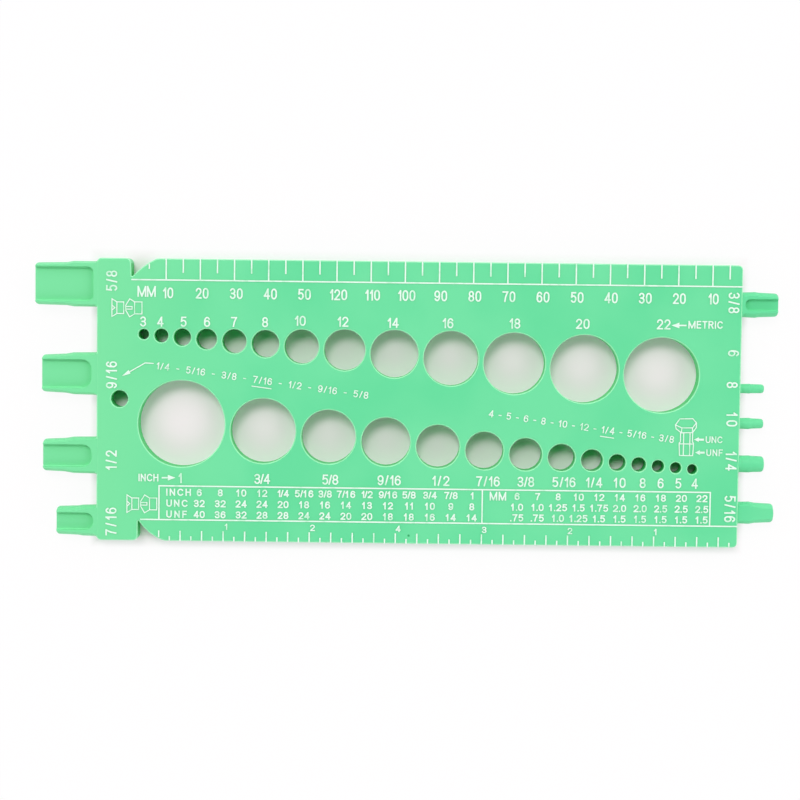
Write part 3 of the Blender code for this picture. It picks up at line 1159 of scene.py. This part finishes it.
@dataclass(frozen=True)
class Arrow:
    """A straight arrow with a solid head, in millimetres.

    Attributes:
        tail: Where it starts.
        tip: Where it ends.
        head: Length of the head.
        half_head: Half the head's breadth.
        shaft: Breadth of the shaft.
        lap: How far the shaft runs into the head.
    """

    tail: Place
    tip: Place
    head: float = 2.3
    half_head: float = 0.85
    shaft: float = 0.46
    lap: float = 0.1

    def patches(self) -> list[list[Vector]]:
        """Lay out the arrow.

        Returns:
            The outlines of its shaft and of its head.
        """
        tail, tip = Vector(self.tail), Vector(self.tip)
        heading = (tip - tail).normalized()
        across = Vector((-heading.y, heading.x))
        neck = tip - heading * self.head
        end = neck + heading * self.lap
        half = across * self.shaft / 2
        wings = across * self.half_head
        return [[tail + half, tail - half, end - half, end + half], [neck + wings, neck - wings, tip]]

    def draw(self, relief: Relief) -> None:
        """Raise the arrow."""
        relief.add(FlatShape.joined(self.patches()))


@dataclass(frozen=True)
class HoleLabels:
    """The sizes over the millimetre holes and under the inch holes.

    Attributes:
        metric_y: Middle of the upper row across the plate, halfway along it.
        metric_slope: How far that middle moves up for each millimetre along the plate.
        inch_y: Middle of the lower row.
        inch_slope: How far that middle moves up.
        metric: The upper row's sizes, each with its place along the plate and its lift.
        inch: The lower row's sizes, each with its place along the plate and its span.
        metric_arrow: The arrow to the upper row.
        metric_word: The word that it comes from.
        inch_arrow: The arrow to the lower row.
        inch_word: The word that it comes from.
    """

    metric_y: float = 23.58
    metric_slope: float = 0.0067
    inch_y: float = -22.8
    inch_slope: float = 0.0012
    metric: tuple[tuple[str, float, float], ...] = (
        ("3", -80.95, 0.0), ("4", -75.9, 0.0), ("5", -69.1, 0.0), ("6", -62.2, 0.0), ("7", -54.3, 0.0),
        ("8", -45.2, 0.0), ("10", -34.9, 0.45), ("12", -22.4, 0.25), ("14", -7.7, 0.0), ("16", 8.4, 0.0),
        ("18", 28.0, 0.0), ("20", 47.9, 0.0), ("22", 71.6, 0.0),
    )
    inch: tuple[tuple[str, float, float | None], ...] = (
        ("1", -69.9, None), ("3/4", -45.7, 4.7), ("5/8", -25.65, 4.8), ("9/16", -8.3, 6.9),
        ("1/2", 6.9, 5.1), ("7/16", 20.8, 7.0), ("3/8", 31.95, 5.0), ("5/16", 43.15, 6.9),
        ("1/4", 52.05, 4.9), ("10", 59.55, 3.6), ("8", 66.35, None), ("6", 71.65, None),
        ("5", 76.85, None), ("4", 81.65, None),
    )
    metric_arrow: Arrow = Arrow((78.3, 23.8), (73.9, 23.76))
    metric_word: Label = Label("METRIC", 83.88, 24.05, 10.1)
    inch_arrow: Arrow = Arrow((-75.3, -22.85), (-71.2, -22.8))
    inch_word: Label = Label("INCH", -79.2, -22.87, 5.9)

    def build(self, finishes: Finishes) -> None:
        """Make both rows, each with its word and arrow.

        Args:
            finishes: The shared materials.
        """
        upper, lower = Relief(), Relief()
        for text, x, lift in self.metric:
            HOLE_LETTERS.write(upper, text, x, self.metric_y + self.metric_slope * x + lift)
        for text, x, span in self.inch:
            HOLE_LETTERS.write(lower, text, x, self.inch_y + self.inch_slope * x, span=span)
        for name, relief, arrow, word in (
            ("metric_hole_numbers", upper, self.metric_arrow, self.metric_word),
            ("inch_hole_numbers", lower, self.inch_arrow, self.inch_word),
        ):
            arrow.draw(relief)
            WORD_LETTERS.place(relief, word)
            relief.build(name, finishes)


@dataclass(frozen=True)
class PostLabels:
    """The sizes beside the nut posts.

    Attributes:
        left: The left end's, read upward.
        right: The right end's, read downward.
    """

    left: tuple[Label, ...] = (
        Label("5/8", -90.2, 34.85, 6.0), Label("9/16", -90.2, 7.3, 8.0),
        Label("1/2", -90.2, -17.87, 5.8), Label("7/16", -90.2, -36.0, 8.3),
    )
    right: tuple[Label, ...] = (
        Label("3/8", 92.05, 30.55, 6.1), Label("6", 92.25, 15.8), Label("8", 92.05, 6.5),
        Label("10", 92.2, -3.6, 4.2), Label("1/4", 92.25, -15.9, 5.65), Label("5/16", 92.2, -30.05, 7.9),
    )

    def build(self, finishes: Finishes) -> None:
        """Make the labels of both ends.

        Args:
            finishes: The shared materials.
        """
        relief = Relief()
        for labels, reading in ((self.left, Reading.UPWARD), (self.right, Reading.DOWNWARD)):
            for label in labels:
                END_LETTERS.place(relief, label, reading)
        relief.build("post_numbers", finishes)


@dataclass(frozen=True)
class PitchBlock:
    """Columns of sizes with their coarse and fine pitches below.

    Attributes:
        first_x: Middle of the first column.
        pitch: From one column to the next.
        row_y: Middle of each row.
        rows: What each row reads, from left to right.
        heads: The words before the rows.
        head_letters: The characters of those words.
    """

    first_x: float
    pitch: float
    row_y: tuple[float, ...]
    rows: tuple[str, ...]
    heads: tuple[Label, ...]
    head_letters: Lettering = TABLE_LETTERS

    def write(self, relief: Relief) -> None:
        """Raise every entry.

        Args:
            relief: What takes the characters.
        """
        for head in self.heads:
            self.head_letters.place(relief, head)
        for y, row in zip(self.row_y, self.rows):
            for index, entry in enumerate(row.split()):
                TABLE_LETTERS.write(relief, entry, self.first_x + self.pitch * index, y)


@dataclass(frozen=True)
class PitchTable:
    """The ruled table between the inch holes and the inch ruler.

    Attributes:
        top_y: Middle of its upper rule.
        bottom_y: Middle of its lower rule.
        left_x: Middle of its left rule.
        divider_x: Middle of the rule between its blocks.
        right_x: Middle of its right rule.
        rule: Breadth of every rule.
        rule_rise: How far the rules stand over the face, a little less than the marks that meet them.
        upper_rule: The rule under the millimetre marks.
        lower_rule: The rule over the inch marks.
        inch: The block of inch sizes.
        metric: The block of millimetre sizes.
    """

    top_y: float = -25.25
    bottom_y: float = -35.25
    left_x: float = -76.07
    divider_x: float = 19.2
    right_x: float = 86.33
    rule: float = 0.42
    rule_rise: float = 0.14
    upper_rule: tuple[Place, Place] = ((-84.24, 35.28), (94.3, 35.28))
    lower_rule: tuple[Place, Place] = ((-81.4, -35.25), (94.3, -35.25))
    inch: PitchBlock = PitchBlock(
        first_x=-64.2, pitch=6.18, row_y=(-27.1, -30.35, -33.6),
        rows=(
            "6 8 10 12 1/4 5/16 3/8 7/16 1/2 9/16 5/8 3/4 7/8 1",
            "32 32 24 24 20 18 16 14 13 12 11 10 9 8",
            "40 36 32 28 28 24 24 20 20 18 18 16 14 14",
        ),
        heads=(
            Label("INCH", -70.3, -27.1, 7.3),
            Label("UNC", -70.75, -30.35, 6.3),
            Label("UNF", -70.85, -33.6, 6.1),
        ),
    )
    metric: PitchBlock = PitchBlock(
        first_x=29.45, pitch=6.05, row_y=(-27.1, -30.3, -33.45),
        rows=(
            "6 7 8 10 12 14 16 18 20 22",
            "1.0 1.0 1.25 1.5 1.75 2.0 2.0 2.5 2.5 2.5",
            ".75 .75 1.0 1.25 1.5 1.5 1.5 1.5 1.5 1.5",
        ),
        heads=(Label("MM", 23.8, -27.1, 4.9),),
        head_letters=TALL_LETTERS,
    )

    def build(self, finishes: Finishes) -> None:
        """Make the rules of the whole face and the entries of the table.

        Args:
            finishes: The shared materials.
        """
        frame = [
            (self.left_x, self.bottom_y), (self.left_x, self.top_y),
            (self.right_x, self.top_y), (self.right_x, self.bottom_y),
        ]
        divider = [(self.divider_x, self.top_y), (self.divider_x, self.bottom_y)]
        rules = Relief(rise=self.rule_rise)
        rules.draw([(self.upper_rule, False)], self.rule)
        rules.draw([(self.lower_rule, False), (frame, False), (divider, False)], self.rule)
        rules.build("rules", finishes)
        entries = Relief()
        self.inch.write(entries)
        self.metric.write(entries)
        entries.build("pitch_table", finishes)


@dataclass(frozen=True)
class SizeLine:
    """A slanted row of sizes with dashes between them, one of them underlined.

    Attributes:
        start: Middle of the row's left end.
        end: Middle of its right end.
        sizes: What it reads.
        underlined: Which of the sizes has a line under it.
        underline_drop: How far below the middle of the sizes that line lies.
        underline_breadth: Its breadth.
    """

    start: Place
    end: Place
    sizes: tuple[str, ...]
    underlined: int
    underline_drop: float = 2.05
    underline_breadth: float = 0.28

    def write(self, relief: Relief) -> None:
        """Raise the sizes, the dashes and the underline.

        Args:
            relief: What takes the characters.
        """
        start, end = Vector(self.start), Vector(self.end)
        heading = (end - start).normalized()
        down = Vector((heading.y, -heading.x))
        turn = math.atan2(heading.y, heading.x)
        widths = [SLANTED_LETTERS.width(size) for size in self.sizes]
        space = ((end - start).length - sum(widths)) / (len(self.sizes) - 1)
        along = 0.0
        for index, (size, width) in enumerate(zip(self.sizes, widths)):
            middle = start + heading * (along + width / 2)
            SLANTED_LETTERS.write(relief, size, middle.x, middle.y, turn)
            if index == self.underlined:
                under = start + down * self.underline_drop
                ends = [under + heading * along, under + heading * (along + width)]
                relief.draw([(ends, False)], self.underline_breadth)
            if index < len(self.sizes) - 1:
                dash = start + heading * (along + width + space / 2)
                SLANTED_LETTERS.write(relief, "-", dash.x, dash.y, turn)
            along += width + space


@dataclass(frozen=True)
class SizeLines:
    """The two slanted rows between the rows of holes, and the leader at the left one.

    Attributes:
        left: The left row.
        right: The right row.
        leader: The bends of the leader, from its tip's side.
        leader_tip: Its tip, towards the posts.
        leader_line: Its breadth.
    """

    left: SizeLine = SizeLine(
        (-77.0, 10.2), (-14.7, 2.1), ("1/4", "5/16", "3/8", "7/16", "1/2", "9/16", "5/8"), underlined=3,
    )
    right: SizeLine = SizeLine(
        (20.8, -2.7), (75.3, -9.8), ("4", "5", "6", "8", "10", "12", "1/4", "5/16", "3/8"), underlined=6,
    )
    leader: tuple[Place, ...] = ((-85.2, 8.05), (-80.3, 10.9), (-77.9, 10.8))
    leader_tip: Place = (-87.1, 6.95)
    leader_line: float = 0.32

    def build(self, finishes: Finishes) -> None:
        """Make both rows and the leader.

        Args:
            finishes: The shared materials.
        """
        relief = Relief()
        self.left.write(relief)
        self.right.write(relief)
        line = ribbon([Vector(place) for place in self.leader], self.leader_line)
        head = Arrow(self.leader[0], self.leader_tip, head=2.6, half_head=0.62, shaft=self.leader_line)
        relief.add(FlatShape.joined([*line, *head.patches()]))
        relief.build("size_lines", finishes)


@dataclass(frozen=True)
class Sketches:
    """Line drawings of a flat-headed and a round-headed screw, twice, and of a hex bolt.

    Attributes:
        line: Breadth of every line.
        screw_places: Middle of each pair of screws.
        bolt_place: Middle of the bolt.
        threads: The words beside the bolt.
        arrow_tails: Where each word's arrow starts, along the plate.
        arrow_tips: Where it ends.
    """

    line: float = 0.3
    screw_places: tuple[Place, ...] = ((-85.7, 27.0), (-81.1, -30.65))
    bolt_place: Place = (78.85, -9.05)
    threads: tuple[Label, ...] = (Label("UNC", 87.1, -9.68, 4.95), Label("UNF", 87.3, -13.51, 4.8))
    arrow_tails: tuple[float, ...] = (84.1, 84.4)
    arrow_tips: tuple[float, ...] = (81.2, 81.6)

    def outline_screws(self) -> list[Line]:
        """Draw the pair of screws about its middle.

        Returns:
            Lines, each with whether it is closed.
        """
        flat_head = [(-4.4, 2.6), (-2.95, 1.7), (-2.95, -1.7), (-4.4, -2.6)]
        flat_slot = [(-4.4, 0.75), (-3.55, 0.0), (-4.4, -0.75)]
        flat_shank = [(-2.95, 1.7), (-0.95, 1.7), (-0.95, -1.7), (-2.95, -1.7)]
        round_head = [
            (-0.35, 0.75), (0.8, 2.65), (2.25, 1.75), (2.25, -1.75), (0.8, -2.65), (-0.35, -0.75),
        ]
        slot_top = [(-0.35, 0.38), (1.5, 0.38), (1.5, -0.38), (-0.35, -0.38)]
        round_shank = [(2.25, 1.75), (4.4, 1.75), (4.4, -1.75), (2.25, -1.75)]
        return [
            (flat_head, True), (flat_slot, False), (flat_shank, True),
            (round_head, True), (slot_top, False), (round_shank, True),
        ]

    def outline_bolt(self) -> list[Line]:
        """Draw the hex bolt with a shoulder about its middle.

        Returns:
            Lines, each with whether it is closed.
        """
        head = [
            (-3.2, 3.6), (-1.95, 5.4), (1.85, 5.5), (2.95, 4.3),
            (2.95, 2.9), (1.85, 1.4), (-1.4, 1.3), (-3.0, 2.5),
        ]
        brim = [(-3.2, 3.6), (-1.3, 2.75), (1.85, 2.8), (2.95, 4.3)]
        edges = [[(-1.3, 2.75), (-1.4, 1.3)], [(1.85, 2.8), (1.85, 1.4)]]
        shank = [(-1.65, 1.3), (-1.65, -1.35), (-2.0, -1.7), (-2.0, -2.2), (-1.85, -5.4), (2.05, -5.4)]
        far_side = [(1.9, 1.35), (1.9, -1.35), (2.2, -1.7), (2.2, -2.2), (2.05, -5.4)]
        ribs = [[(-0.7, 1.3), (-0.75, -5.2)], [(1.15, 1.3), (1.1, -5.2)]]
        shoulder = [(-2.0, -1.95), (2.2, -1.95)]
        return [
            (head, True), (brim, False), *((edge, False) for edge in edges), (shank, False),
            (far_side, False), *((rib, False) for rib in ribs), (shoulder, False),
        ]

    def build(self, finishes: Finishes) -> None:
        """Make the drawings, with the arrows and words beside the bolt.

        Args:
            finishes: The shared materials.
        """
        relief = Relief()
        for place in self.screw_places:
            relief.draw(self.outline_screws(), self.line, place)
        relief.draw(self.outline_bolt(), self.line, self.bolt_place)
        for label, tail_x, tip_x in zip(self.threads, self.arrow_tails, self.arrow_tips):
            Arrow((tail_x, label.y), (tip_x, label.y), head=1.4, half_head=0.7, shaft=0.6).draw(relief)
            SMALL_LETTERS.place(relief, label)
        relief.build("sketches", finishes)


@dataclass(frozen=True)
class OverheadCamera:
    """The camera over the plate.

    Attributes:
        distance: From the face to the lens, in millimetres.
        tilt: How far the view leans along the plate's width, in radians.
        lean: How far it leans along the plate's length.
        turn: How far the plate turns in the frame.
        sight: Where the camera's own axis meets the face, from the model's origin, in millimetres.
        lens: Focal length in millimetres.
        sensor: Breadth of the sensor.
        clip: Nearest and farthest that the camera sees, in metres.
    """

    distance: float = 520.0
    tilt: float = 0.0555
    lean: float = -0.0015
    turn: float = 0.01214
    sight: Place = (-1.64, 0.91)
    lens: float = 79.64
    sensor: float = 36.0
    clip: Place = (0.01, 20.0)

    def build(self) -> None:
        """Make the scene's camera."""
        lens = bpy.data.cameras.new("camera")
        lens.lens = self.lens
        lens.sensor_width = self.sensor
        lens.clip_start, lens.clip_end = self.clip
        camera = bpy.data.objects.new("camera", lens)
        bpy.context.scene.collection.objects.link(camera)
        axes = Matrix.Rotation(self.lean, 3, "Y") @ Matrix.Rotation(self.tilt, 3, "X")
        axes = (axes @ Matrix.Rotation(-self.turn, 3, "Z")).transposed()
        away = axes @ Vector((0, 0, self.distance))
        place = (away + Vector((*self.sight, PLATE.face))) * MM
        camera.matrix_world = Matrix.Translation(place) @ axes.to_4x4()
        bpy.context.scene.camera = camera


@dataclass(frozen=True)
class Studio:
    """A pale floor under a soft lamp and a sky that is brightest in a ring round a dark cap.

    Attributes:
        sky: Strength of the ring.
        cap_from: Where the middle of the dark cap stands.
        cap_rim: Cosines of the angles from its middle at which the cap starts and is fully dark.
        horizon: Strength near the horizon, against the ring's.
        horizon_rim: Heights over the horizon, as sines, between which the ring comes up.
        sky_lean: How much brighter the sky is on one side, along the plate and across it.
        lamp: Strength of the soft lamp.
        lamp_spread: The lamp's breadth as seen from the plate, in degrees.
        lamp_from: Where the lamp stands, from the plate.
        floor_half: Half the floor's length, in metres.
        floor_drop: How far it lies below the plate, in metres.
        floor_colour: The colour that lies under the plate.
        floor_glow: How much of the floor shows plain white away from the plate.
        glow_span: How far past the plate's edges the white starts and is full, in millimetres.
    """

    sky: float = 1.3
    cap_from: tuple[float, float, float] = (0.05, -0.2, 1.0)
    cap_rim: Place = (0.75, 0.85)
    horizon: float = 0.8
    horizon_rim: Place = (0.05, 0.3)
    sky_lean: Place = (0.1, -0.1)
    lamp: float = 0.95
    lamp_spread: float = 22.0
    lamp_from: tuple[float, float, float] = (-0.17, 0.54, 1.0)
    floor_half: float = 2.5
    floor_drop: float = 0.0002
    floor_colour: Colour = (0.98, 0.87, 0.92)
    floor_glow: float = 0.93
    glow_span: Place = (-1.0, 3.0)

    def sky_strength(self, bench: NodeBench) -> bpy.types.NodeSocket:
        """Shade the sky by where in it a ray goes.

        Args:
            bench: The world's nodes.

        Returns:
            The strength's socket.
        """
        heading = bench.add("ShaderNodeTexCoord")
        parts = bench.add("ShaderNodeSeparateXYZ")
        bench.join(heading.outputs["Generated"], parts.inputs["Vector"])
        cap = bench.add("ShaderNodeVectorMath", operation="DOT_PRODUCT")
        bench.join(heading.outputs["Generated"], cap.inputs[0])
        cap.inputs[1].default_value = Vector(self.cap_from).normalized()
        inner = bench.spread(cap.outputs["Value"], self.cap_rim, (self.sky, 0.0))
        outer = bench.spread(parts.outputs["Z"], self.horizon_rim, (self.horizon, 1.0))
        side = bench.math("MULTIPLY", parts.outputs["X"], self.sky_lean[0])
        side = bench.math("ADD", side, bench.math("MULTIPLY", parts.outputs["Y"], self.sky_lean[1]))
        return bench.math("MULTIPLY", bench.math("MULTIPLY", inner, outer), bench.math("ADD", side, 1.0))

    def hang_sky(self) -> None:
        """Make the sky. The camera alone sees it plain white."""
        world = bpy.data.worlds.new("sky")
        bpy.context.scene.world = world
        world.use_nodes = True
        bench = NodeBench(world.node_tree)
        backdrop = world.node_tree.nodes["Background"]
        backdrop.inputs["Color"].default_value = (1.0, 1.0, 1.0, 1.0)
        path = bench.add("ShaderNodeLightPath")
        seen = bench.math("MAXIMUM", self.sky_strength(bench), path.outputs["Is Camera Ray"])
        bench.join(seen, backdrop.inputs["Strength"])

    def set_lamp(self) -> None:
        """Make the soft lamp."""
        lamp = bpy.data.lights.new("lamp", "SUN")
        lamp.energy = self.lamp
        lamp.angle = math.radians(self.lamp_spread)
        stand = bpy.data.objects.new("lamp", lamp)
        stand.rotation_mode = "QUATERNION"
        stand.rotation_quaternion = Vector(self.lamp_from).to_track_quat("Z", "Y")
        bpy.context.scene.collection.objects.link(stand)

    def plate_mask(self, bench: NodeBench) -> bpy.types.NodeSocket:
        """Mark the floor away from the plate, 0 under it.

        Args:
            bench: The floor's nodes.

        Returns:
            The mask's socket.
        """
        places = bench.add("ShaderNodeTexCoord")
        parts = bench.add("ShaderNodeSeparateXYZ")
        bench.join(places.outputs["Object"], parts.inputs["Vector"])
        away = []
        spans = (("X", PLATE.middle_x, PLATE.half_length), ("Y", 0.0, PLATE.half_width))
        for axis, middle, half in spans:
            off = bench.math("ABSOLUTE", bench.math("SUBTRACT", parts.outputs[axis], middle * MM))
            start, full = ((half + reach) * MM for reach in self.glow_span)
            away.append(bench.spread(off, (start, full), (0.0, 1.0)))
        return bench.math("MAXIMUM", *away)

    def lay_floor(self) -> None:
        """Make the floor. Away from the plate, the camera and reflections see part of its white."""
        mesh = bpy.data.meshes.new("floor")
        signs = ((-1, -1), (1, -1), (1, 1), (-1, 1))
        corners = [(x * self.floor_half, y * self.floor_half, -self.floor_drop) for x, y in signs]
        mesh.from_pydata(corners, [], [(0, 1, 2, 3)])
        made = bpy.data.materials.new("pale_floor")
        made.use_nodes = True
        bench = NodeBench(made.node_tree)
        made.node_tree.nodes.remove(made.node_tree.nodes["Principled BSDF"])
        matte = bench.add("ShaderNodeBsdfDiffuse")
        matte.inputs["Color"].default_value = (*self.floor_colour, 1.0)
        plain = bench.add("ShaderNodeEmission")
        path = bench.add("ShaderNodeLightPath")
        seen = bench.math("MAXIMUM", path.outputs["Is Camera Ray"], path.outputs["Is Glossy Ray"])
        away = bench.math("MULTIPLY", seen, self.plate_mask(bench))
        share = bench.math("MULTIPLY", away, self.floor_glow)
        mixed = bench.add("ShaderNodeMixShader")
        bench.join(share, mixed.inputs["Fac"])
        bench.join(matte.outputs["BSDF"], mixed.inputs[1])
        bench.join(plain.outputs["Emission"], mixed.inputs[2])
        bench.join(mixed.outputs["Shader"], made.node_tree.nodes["Material Output"].inputs["Surface"])
        mesh.materials.append(made)
        floor = bpy.data.objects.new("floor", mesh)
        bpy.context.scene.collection.objects.link(floor)

    def build(self) -> None:
        """Make the light and the floor."""
        self.hang_sky()
        self.set_lamp()
        self.lay_floor()


def dress_plate(plate: bpy.types.Object, finishes: Finishes) -> None:
    """Give the moulded plate its plastic.

    Args:
        plate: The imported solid.
        finishes: The shared materials.
    """
    plate.data.materials.clear()
    plate.data.materials.append(finishes.plastic)
    LOG.info("%s: %d faces", plate.name, len(plate.data.polygons))


def main() -> None:
    """Build the gauge's looks, the floor, the light and the camera."""
    logging.basicConfig(level=logging.INFO, format="%(message)s")
    for leftover in list(bpy.data.objects):
        bpy.data.objects.remove(leftover)
    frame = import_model()
    bpy.context.scene.view_settings.view_transform = "Standard"
    OverheadCamera().build()
    Studio().build()
    finishes = Finishes.made()
    dress_plate(frame["nodes"][GAUGE_NODE], finishes)
    tree = marks_tree()
    MillimetreRuler().build(tree, finishes)
    InchRuler().build(tree, finishes)
    HoleLabels().build(finishes)
    PostLabels().build(finishes)
    PitchTable().build(finishes)
    SizeLines().build(finishes)
    Sketches().build(finishes)


if __name__ == "__main__":
    main()
